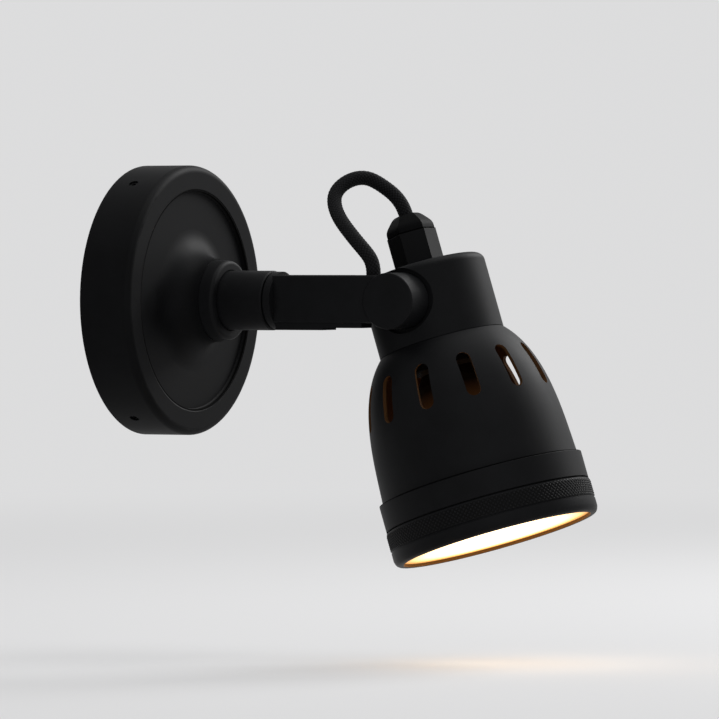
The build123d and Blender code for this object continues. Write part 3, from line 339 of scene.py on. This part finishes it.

METAL = dict(metallic=1.0, grain=900.0, depth=0.00001)
MOULDED = {}
DULL = dict(specular=0.05)
PLAIN_FINISHES = {  # slot: (material, darker colour, lighter colour, their roughness, the rest)
    "black_steel": ("blackened_steel", (0.02, 0.02, 0.022), (0.04, 0.04, 0.042), (0.3, 0.42), METAL),
    "zinc_steel": ("zinc_sheet", (0.50, 0.51, 0.53), (0.57, 0.58, 0.60), (0.38, 0.46), METAL),
    "plated_steel": ("bright_plate", (0.56, 0.57, 0.58), (0.68, 0.69, 0.7), (0.2, 0.32), METAL),
    "spring_steel": ("oiled_spring", (0.2, 0.2, 0.22), (0.32, 0.32, 0.34), (0.28, 0.4), METAL),
    "bronze": ("sintered_bronze", (0.36, 0.22, 0.1), (0.5, 0.33, 0.16), (0.42, 0.56), METAL),
    "brass": ("plain_brass", (0.56, 0.4, 0.16), (0.7, 0.53, 0.24), (0.24, 0.36), METAL),
    # painted shade: the lamp's metal base is coloured dark for the shade inside the head
    "lamp_base": ("shade_darkened_shell", (0.03, 0.018, 0.010), (0.05, 0.030, 0.017), (0.55, 0.65), METAL),
    "ivory_plastic": ("ivory_nylon", (0.62, 0.59, 0.5), (0.7, 0.67, 0.58), (0.42, 0.52), MOULDED),
    "black_plastic": ("black_nylon", (0.018,) * 3, (0.028,) * 3, (0.46, 0.58), MOULDED),
    "holder_plastic": ("holder_moulding", (0.006, 0.005, 0.004), (0.010, 0.008, 0.006), (0.6, 0.7), DULL),
    "black_rubber": ("soft_rubber", (0.01,) * 3, (0.018,) * 3, (0.68, 0.82), MOULDED),
    "silicone": ("pale_silicone", (0.55, 0.55, 0.53), (0.66, 0.66, 0.64), (0.4, 0.52), MOULDED),
    "core_insulation": ("core_skin", (0.2, 0.1, 0.06), (0.3, 0.16, 0.1), (0.46, 0.58), MOULDED),
    "fibre": ("hard_fibre", (0.07, 0.055, 0.045), (0.12, 0.1, 0.08), (0.66, 0.8), MOULDED),
}


def worked_finish(name, dark, light, rough, metallic=0.0, specular=0.5, sheen=0.0,
                  cloud=90.0, grain=1800.0, depth=0.00002):
    """A plain finish: slow noise moves its colour and gloss, fine noise its relief."""
    made = Finish(name)
    slow = made.noise(made.coordinates["Object"], cloud)
    fine = made.noise(made.coordinates["Object"], grain, detail=2.0)
    made.set(Base_Color=made.mix(made.between(slow, 0.0, 1.0), dark, light),
             Roughness=made.between(slow, *rough))
    made.relief(fine, depth)
    made.set(Metallic=metallic, Specular_IOR_Level=specular, Sheen_Weight=sheen)
    return made


def powder_coat(name, rough=POWDER_ROUGH, tone=1.0):
    """Black powder coat: faint clouds in it, a fine pebbled skin, and darker with a lower tone, which paints shade
    as a darker copy of the same coat.
    """
    dark, light = (tuple(tone * value for value in colour) for colour in (POWDER_DARK, POWDER_LIGHT))
    return worked_finish(name, dark, light, rough, specular=POWDER_SPECULAR * tone,
                         cloud=60.0, grain=1500.0, depth=0.00003)


def rose_finish():
    """The rose's powder coat in a darker tone of painted shade, with the step round its dish drawn as a fine line
    of painted shade.
    """
    made = powder_coat("rose_coat", tone=SHADED_TONE)
    radius = made.measure("LENGTH", made.vector("MULTIPLY", made.coordinates["Object"], (1, 0, 1)))
    made.joint_line(radius, DISH_RADIUS, DISH_HALF_WIDTH)
    return made


def head_part_finish(name, height, tone=1.0):
    """Powder coat of a piece on the head, with a line of painted shade round it where it meets its neighbour, and
    darker with a lower tone, which is painted shade.
    """
    made = powder_coat(name, tone=tone)
    made.joint_line(made.head_height(), height, JOINT_HALF_WIDTH)
    return made


def paint_lamplight_inside(made, colour, facing):
    """Paints warm lamplight on the faces that look towards the head's axis.

    What counts is the normal's part along the way out from the axis, 1 on an outer face, 0 on one
    that looks across and -1 on an inner one: below the first limit all is coloured, past the
    second nothing.
    """
    outward = made.vector("NORMALIZE", made.out_of_axis())
    normal = made.add("Mapping", vector_type="NORMAL")
    made.fill(normal, Vector=made.coordinates["Normal"], Rotation=(HEAD_TILT, 0, 0))
    share = made.measure("DOT_PRODUCT", outward, normal.outputs["Vector"])
    inside = made.between(share, 1.0, 0.0, *facing)
    # painted lamplight, mixed over the coat on the inward faces
    made.set(Base_Color=made.mix(inside, made.now("Base Color"), colour))


def shade_finish():
    """The bell's powder coat outside, painted warm lamplight inside and on the edges of its vents, and a line of
    painted shade at its joint with the band.
    """
    made = powder_coat("bell_coat")
    paint_lamplight_inside(made, INNER_LAMPLIGHT, INNER_FACING)
    made.joint_line(made.head_height(), BAND_TOP + LINE_ABOVE, JOINT_HALF_WIDTH)
    return made


def bezel_finish():
    """Powder coat, with painted shade in the knurl's grooves, lighter on its crests, and painted warm lamplight
    inside the mouth.
    """
    made = powder_coat("knurled_coat", KNURL_ROUGH)
    height = made.add("Attribute", attribute_name="knurl_height").outputs["Fac"]
    crest_lighter = made.mix(made.between(height, 0.0, 1.0, PLAIN_HEIGHT, 1.0), made.now("Base Color"), KNURL_CREST)
    # painted shade in the knurl's grooves, near-black at their bottoms
    made.set(Base_Color=made.mix(made.between(height, 0.0, 1.0, *KNURL_GROOVE), CREVICE_SHADE, crest_lighter))
    paint_lamplight_inside(made, MOUTH_LAMPLIGHT, MOUTH_FACING)
    return made


def lens_finish():
    """Frosted glass lit from behind: warm white, turning golden towards its rim."""
    made = Finish("lit_frosted_glass")
    share = made.between(made.measure("LENGTH", made.out_of_axis()), 0.0, 1.0, 0.0, LENS_RADIUS)
    glow = made.ramp(share, LENS_GLOW)
    made.set(Emission_Color=glow, Base_Color=glow, Emission_Strength=LENS_STRENGTH, Roughness=0.35)
    made.relief(made.noise(made.head_places(), scale=1400.0, detail=2.0), depth=0.00002)
    return made


def lamp_finish():
    """The lamp's glass: coated inside as a reflector, so its side only glimmers and its front glows; its coat
    turns a lighter brown towards the front, as painted lamplight.
    """
    made = Finish("lit_lamp_glass")
    along = made.between(made.head_height(), 0.0, 1.0, LAMP_NECK, LAMP_FRONT)
    made.set(Emission_Color=made.ramp(along, LAMP_GLOW), Emission_Strength=LAMP_STRENGTH,
             # the coat's lighter brown towards the front is painted lamplight
             Base_Color=made.mix(along, LAMP_COAT, LAMP_LIT_BROWN),
             Roughness=0.75, Specular_IOR_Level=0.03)
    made.relief(made.noise(made.head_places(), scale=600.0, detail=1.0), depth=0.00001)
    return made


def braid_finish(name, woven):
    """Black textile: light flecks on dark yarn, with painted shade in the gaps where the braid is modelled."""
    made = worked_finish(name, YARN_DARK, YARN_LIGHT, YARN_ROUGH,
                         specular=0.1, sheen=0.03, cloud=1400.0, grain=5200.0, depth=0.00004)
    flecked = made.noise(made.coordinates["Object"], scale=2600.0, detail=4.0)
    colour = made.mix(made.between(flecked, 0.0, 1.0, *FLECK_RANGE), made.now("Base Color"), FLECK)
    if woven:
        height = made.add("Attribute", attribute_name="yarn_height").outputs["Fac"]
        # painted shade in the gaps between the yarns
        colour = made.mix(made.between(height, 0.0, 1.0, *YARN_GAP), CREVICE_SHADE, colour)
    made.set(Base_Color=colour)
    return made


def slot_finishes():
    """A finish for each slot of the record."""
    finishes = {"black_paint": powder_coat("powder_coat"), "black_paint_bezel": bezel_finish()}
    for slot, (name, dark, light, rough, rest) in PLAIN_FINISHES.items():
        finishes[slot] = worked_finish(name, dark, light, rough, **rest)
    finishes["lamp_glass"] = lamp_finish()
    finishes["frosted_glass"] = lens_finish()
    finishes["braided_cable"] = braid_finish("textile_cable", False)
    return finishes


def dress_solids():
    """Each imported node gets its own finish, or else the finish of its record's slot."""
    finishes = slot_finishes()
    own = {
        "shade_bell": shade_finish(),
        "rose_cover": rose_finish(),
        "rim_band": head_part_finish("band_coat", BAND_TOP - LINE_BELOW),
        "head_cap": head_part_finish("cap_coat", CAP_FOOT),
        # painted shade: the gland and its dome take darker tones of the same coat
        "gland_body": head_part_finish("gland_coat", GLAND_JOINT - LINE_BELOW, SHADED_TONE),
        "gland_dome": head_part_finish("dome_coat", GLAND_JOINT + LINE_ABOVE, DEEPER_SHADED_TONE),
    }
    slots = {part["node"]: part["material_slot"] for part in frame["record"]["subparts"]}
    for node, piece in frame["nodes"].items():
        material = own.get(node, finishes[slots[node]]).material
        if not piece.material_slots:
            piece.data.materials.append(material)
        for place in piece.material_slots:
            place.material = material
    return finishes


# ---- bezel with its diamond knurl --------------------------------------------------------------
BEZEL_RADIUS, KNURL_DROP = 46.7, 0.4    # the grip's radius, and how far it drops to the plain rim
KNURL_ROUND, KNURL_PITCH, KNURL_DEPTH = 144, 2.04, 0.42     # diamonds round, pitch along, cut
KNURL_STEPS, GRIP_ROWS = 8, 31          # grid steps across a diamond, and rows along the grip
PLAIN_HEIGHT = 0.75                     # knurl_height off the knurl: 0 is a groove's bottom, 1 a crest
GRIP = (-103.4, -95.8)                  # heights between which the knurl is cut
BEZEL_OUTLINE = [  # (radius, height) from the grip's lower end round to its upper end, millimetres
    (46.0, -103.6), (46.0, -104.0), (46.5, -104.25), (46.5, -107.6),        # groove and plain rim
    (46.35, -108.2), (46.2, -108.7), (45.93, -109.3), (45.6, -109.8),       # rounded edge
    (45.1, -110.18), (44.5, -110.41), (43.9, -110.5),
    (42.8, -110.5), (42.6, -110.3), (42.6, -109.0), (44.1, -109.0),         # mouth and lens seat
    (44.1, -104.4), (45.06, -104.4), (45.06, -103.2), (44.66, -103.2),      # groove of the snap ring
    (44.66, -95.4), (46.3, -95.4),                                          # bore and upper end
]
SHARP = math.radians(35)                # edges that turn more than this stay sharp


def saw(x):
    """A triangle wave: 0 at whole numbers, 1 half way between."""
    return 1 - np.abs(2 * (x - np.floor(x)) - 1)


def knurled_bezel(finish):
    """The bezel turned from its outline, with two sets of crossed grooves over its grip.

    On the grip, radius = outer radius - depth * (1 - crest) and crest = min(saw(a), saw(b)), where
    a and b count the left-hand and right-hand grooves: a = n * turn + height / pitch and
    b = n * turn - height / pitch. Over the last stretch at either end, as long as the grip's drop,
    the grooves run out and the radius falls by that drop.
    """
    columns = KNURL_ROUND * KNURL_STEPS
    turn = np.arange(columns) / columns
    heights = np.linspace(*GRIP, GRIP_ROWS)
    a = KNURL_ROUND * turn[None, :] + heights[:, None] / KNURL_PITCH
    b = KNURL_ROUND * turn[None, :] - heights[:, None] / KNURL_PITCH
    crest = np.minimum(saw(a), saw(b))
    ends = np.minimum(1, np.minimum(heights - GRIP[0], GRIP[1] - heights) / KNURL_DROP)[:, None]
    grip_radius = BEZEL_RADIUS - KNURL_DROP * (1 - ends) - KNURL_DEPTH * (1 - crest) * ends
    grip_height = PLAIN_HEIGHT + ends * (crest - PLAIN_HEIGHT)
    outline = np.array(BEZEL_OUTLINE)
    plain_radius = np.repeat(outline[:, :1], columns, 1)
    plain_height = np.full(plain_radius.shape, PLAIN_HEIGHT)
    radius = np.concatenate([grip_radius[::-1], plain_radius])
    height = np.concatenate([heights[::-1], outline[:, 1]])[:, None]
    angle = TURN * turn[None, :]
    points = np.stack([radius * np.cos(angle), radius * np.sin(angle), height + 0 * radius], -1) * MM
    mesh = grid_mesh("knurled_bezel", placed(points, HEAD), True)
    keep_numbers(mesh, "knurl_height", np.concatenate([grip_height[::-1], plain_height]).ravel())
    piece = link("knurled_bezel", mesh)
    mesh.materials.append(finish.material)
    mesh.set_sharp_from_angle(angle=SHARP)
    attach(piece, "bezel")
    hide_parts("bezel_ring")


# ---- the cable's free loop ---------------------------------------------------------------------
CABLE_RADIUS = 3.15 * MM
LOOP_ROUTE = [  # millimetres, from the arm's outlet to the top of the gland
    (-2.9, -115.7, 11.3), (-2.9, -115.7, 15.8), (-2.7, -113.5, 19.8), (-1.6, -107.8, 24.8),
    (0.8, -101.8, 30.0), (4.4, -95.4, 35.2), (8.8, -89.9, 41.0), (13.4, -87.0, 47.3),
    (19.2, -90.2, 52.9), (25.4, -96.6, 55.2), (29.9, -103.3, 50.6), (31.0, -111.807, 44.062),
    (31.0, -113.912, 37.386),
]
LINE_ORDER, LINE_STEPS = 4, 32          # of the NURBS curve, and how finely it is drawn
YARNS = 12                              # yarns each way round the cable
YARN_RISE = 0.22 * MM                   # from the deepest gap to a crown
YARN_PROUD = 0.1 * MM                   # how far a crown stands out past the nominal radius
CROWN = 0.45                            # share of its height that a yarn gains on top of another
RING_STEP, RING_POINTS = 0.21 * MM, 96  # way between the tube's rings, and points on each
FIRST_SIDE = (0.0, 1.0, 0.2)            # any way that isn't along the loop's start


def loop_line():
    """Places along the loop's NURBS line, a step apart, read from a curve that has no thickness."""
    data = bpy.data.curves.new("loop_route", "CURVE")
    data.dimensions, data.resolution_u = "3D", LINE_STEPS
    spline = data.splines.new("NURBS")
    spline.points.add(len(LOOP_ROUTE) - 1)
    for point, place in zip(spline.points, LOOP_ROUTE):
        point.co = (*metres(place), 1.0)
    spline.order_u = LINE_ORDER
    spline.use_endpoint_u = True
    guide = link("loop_route", data)
    bpy.context.view_layer.update()
    mesh = bpy.data.meshes.new_from_object(guide.evaluated_get(bpy.context.evaluated_depsgraph_get()))
    places = np.empty(len(mesh.vertices) * 3)
    mesh.vertices.foreach_get("co", places)
    bpy.data.objects.remove(guide)
    places = places.reshape(-1, 3)
    run = np.concatenate([[0], np.cumsum(np.linalg.norm(np.diff(places, axis=0), axis=1))])
    even = np.linspace(0, run[-1], int(run[-1] / RING_STEP))
    return np.stack([np.interp(even, run, places[:, axis]) for axis in range(3)], 1), even


def steady_frames(line):
    """Two directions square to a line at each point: each is carried on and made square again."""
    along = np.gradient(line, axis=0)
    along /= np.linalg.norm(along, axis=1)[:, None]
    side = np.cross(along[0], FIRST_SIDE)
    sides = []
    for direction in along:
        side = side - direction * (side @ direction)
        side = side / np.linalg.norm(side)
        sides.append(side)
    sides = np.array(sides)
    return sides, np.cross(along, sides)


def braided_loop():
    """The braided cable as a tube whose skin rises and falls with its crossing yarns.

    Yarn a winds one way and yarn b the other: a = n * turn + run / pitch, b = n * turn - run / pitch.
    Each is a rounded ridge, sin(pi * fraction). Which of the two lies on top alternates from one
    crossing to the next, with the sum of their whole parts, and that one's ridge is the height:
    ridge * (1 - crown + crown * the other's ridge).
    """
    line, run = loop_line()
    side, other = steady_frames(line)
    turn = np.arange(RING_POINTS) / RING_POINTS
    pitch = TURN * CABLE_RADIUS / YARNS
    a = YARNS * turn[None, :] + run[:, None] / pitch
    b = YARNS * turn[None, :] - run[:, None] / pitch
    ridge_a, ridge_b = np.sin(np.pi * (a % 1)), np.sin(np.pi * (b % 1))
    over = (np.floor(a) + np.floor(b)) % 2 == 0
    height = np.where(over, ridge_a * (1 - CROWN + CROWN * ridge_b),
                      ridge_b * (1 - CROWN + CROWN * ridge_a))
    radius = CABLE_RADIUS + YARN_PROUD - YARN_RISE * (1 - height)
    angle = (TURN * turn)[None, :, None]
    points = line[:, None, :] + radius[..., None] * (
        np.cos(angle) * side[:, None, :] + np.sin(angle) * other[:, None, :])
    mesh = grid_mesh("braided_loop", points, False)
    keep_numbers(mesh, "yarn_height", np.concatenate([height.ravel(), [0, 0]]))
    piece = link("braided_loop", mesh)
    mesh.materials.append(braid_finish("braided_textile", True).material)
    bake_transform(piece)
    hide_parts("loop_cable")


# ---- floor and light ---------------------------------------------------------------------------
PALE = (0.72, 0.72, 0.725)
FLOOR_HEIGHT, FLOOR_REACH = -0.16, 30.0
FLOOR_FADE = (0.4, 2.0)                 # distances from the origin between which the shadow fades out
FLOOR_GLOW = 0.6                        # share of the floor that is glow and not paint, where it is near
ROOM_LIGHT = 0.4                        # strength of the room's even light, against 1 for what is seen
MIDDLE = (0.02, -0.1, -0.02)            # where the soft boxes look
SOFT_BOXES = {  # name: (place, side, watts)
    "room_side": ((1.2, -0.55, 0.75), 0.7, 18.0),
    "overhead": ((0.1, -0.4, 1.3), 1.0, 10.0),
    "left_fill": ((-1.3, -0.9, 0.4), 1.2, 3.0),
}


def seen_rays(nodes):
    """1 for rays from the camera, off gloss or through glass, and 0 for the rest."""
    path = nodes.add("LightPath").outputs
    total = path["Is Camera Ray"]
    for kind in ("Is Glossy Ray", "Is Transmission Ray"):
        total = nodes.number("ADD", total, path[kind], use_clamp=True)
    return total


def pale_surface(name):
    """Pale matt paint that shows about its own colour to the eye, to gloss and through glass.

    Near the object part of it is plain paint, which keeps the shadow. That part fades out with the
    distance from the origin, so that the floor ends in the room's own colour.
    """
    material = bpy.data.materials.new(name)
    material.use_nodes = True
    nodes = Nodes(material.node_tree)
    nodes.tree.nodes.remove(nodes.tree.nodes["Principled BSDF"])
    paint, glow = nodes.add("BsdfDiffuse"), nodes.add("Emission")
    for shader in (paint, glow):
        nodes.fill(shader, Color=(*PALE, 1))
    distance = nodes.measure("LENGTH", nodes.add("TexCoord").outputs["Object"])
    fade = nodes.between(distance, FLOOR_GLOW, 1.0, *FLOOR_FADE, interpolation_type="SMOOTHSTEP")
    share = nodes.number("MULTIPLY", seen_rays(nodes), fade)
    mixed = nodes.worked_out(nodes.add("MixShader"), (share, paint.outputs[0], glow.outputs[0]))
    nodes.fill(nodes.tree.nodes["Material Output"], Surface=mixed[0])
    return material


def make_floor():
    """A level floor, far wider than the view."""
    mesh = bpy.data.meshes.new("floor")
    corners = [(x * FLOOR_REACH, y * FLOOR_REACH, FLOOR_HEIGHT)
               for x, y in ((-1, -1), (1, -1), (1, 1), (-1, 1))]
    mesh.from_pydata(corners, [], [(0, 1, 2, 3)])
    floor = link("floor", mesh)
    floor.data.materials.append(pale_surface("pale_floor"))


def make_world():
    """A pale room: the floor's colour to the eye, to gloss and through glass, and a weaker even light."""
    world = bpy.data.worlds.new("room")
    world.use_nodes = True
    nodes = Nodes(world.node_tree)
    strength = nodes.between(seen_rays(nodes), ROOM_LIGHT, 1.0, 0.0, 1.0)
    nodes.fill(nodes.tree.nodes["Background"], Color=(*PALE, 1), Strength=strength)
    bpy.context.scene.world = world


def soft_box(name, place, side, watts):
    """A square light that looks at the middle of the object."""
    data = bpy.data.lights.new(name, "AREA")
    data.size, data.energy = side, watts
    light = link(name, data)
    light.location = place
    light.rotation_mode = "QUATERNION"
    light.rotation_quaternion = (Vector(MIDDLE) - Vector(place)).to_track_quat("-Z", "Y")


# ---- the scene ---------------------------------------------------------------------------------
finishes = dress_solids()
make_camera()
braided_loop()
knurled_bezel(finishes["black_paint_bezel"])
make_floor()
make_world()
for name, (place, side, watts) in SOFT_BOXES.items():
    soft_box(name, place, side, watts)

bpy.context.scene.view_settings.view_transform = "Standard"
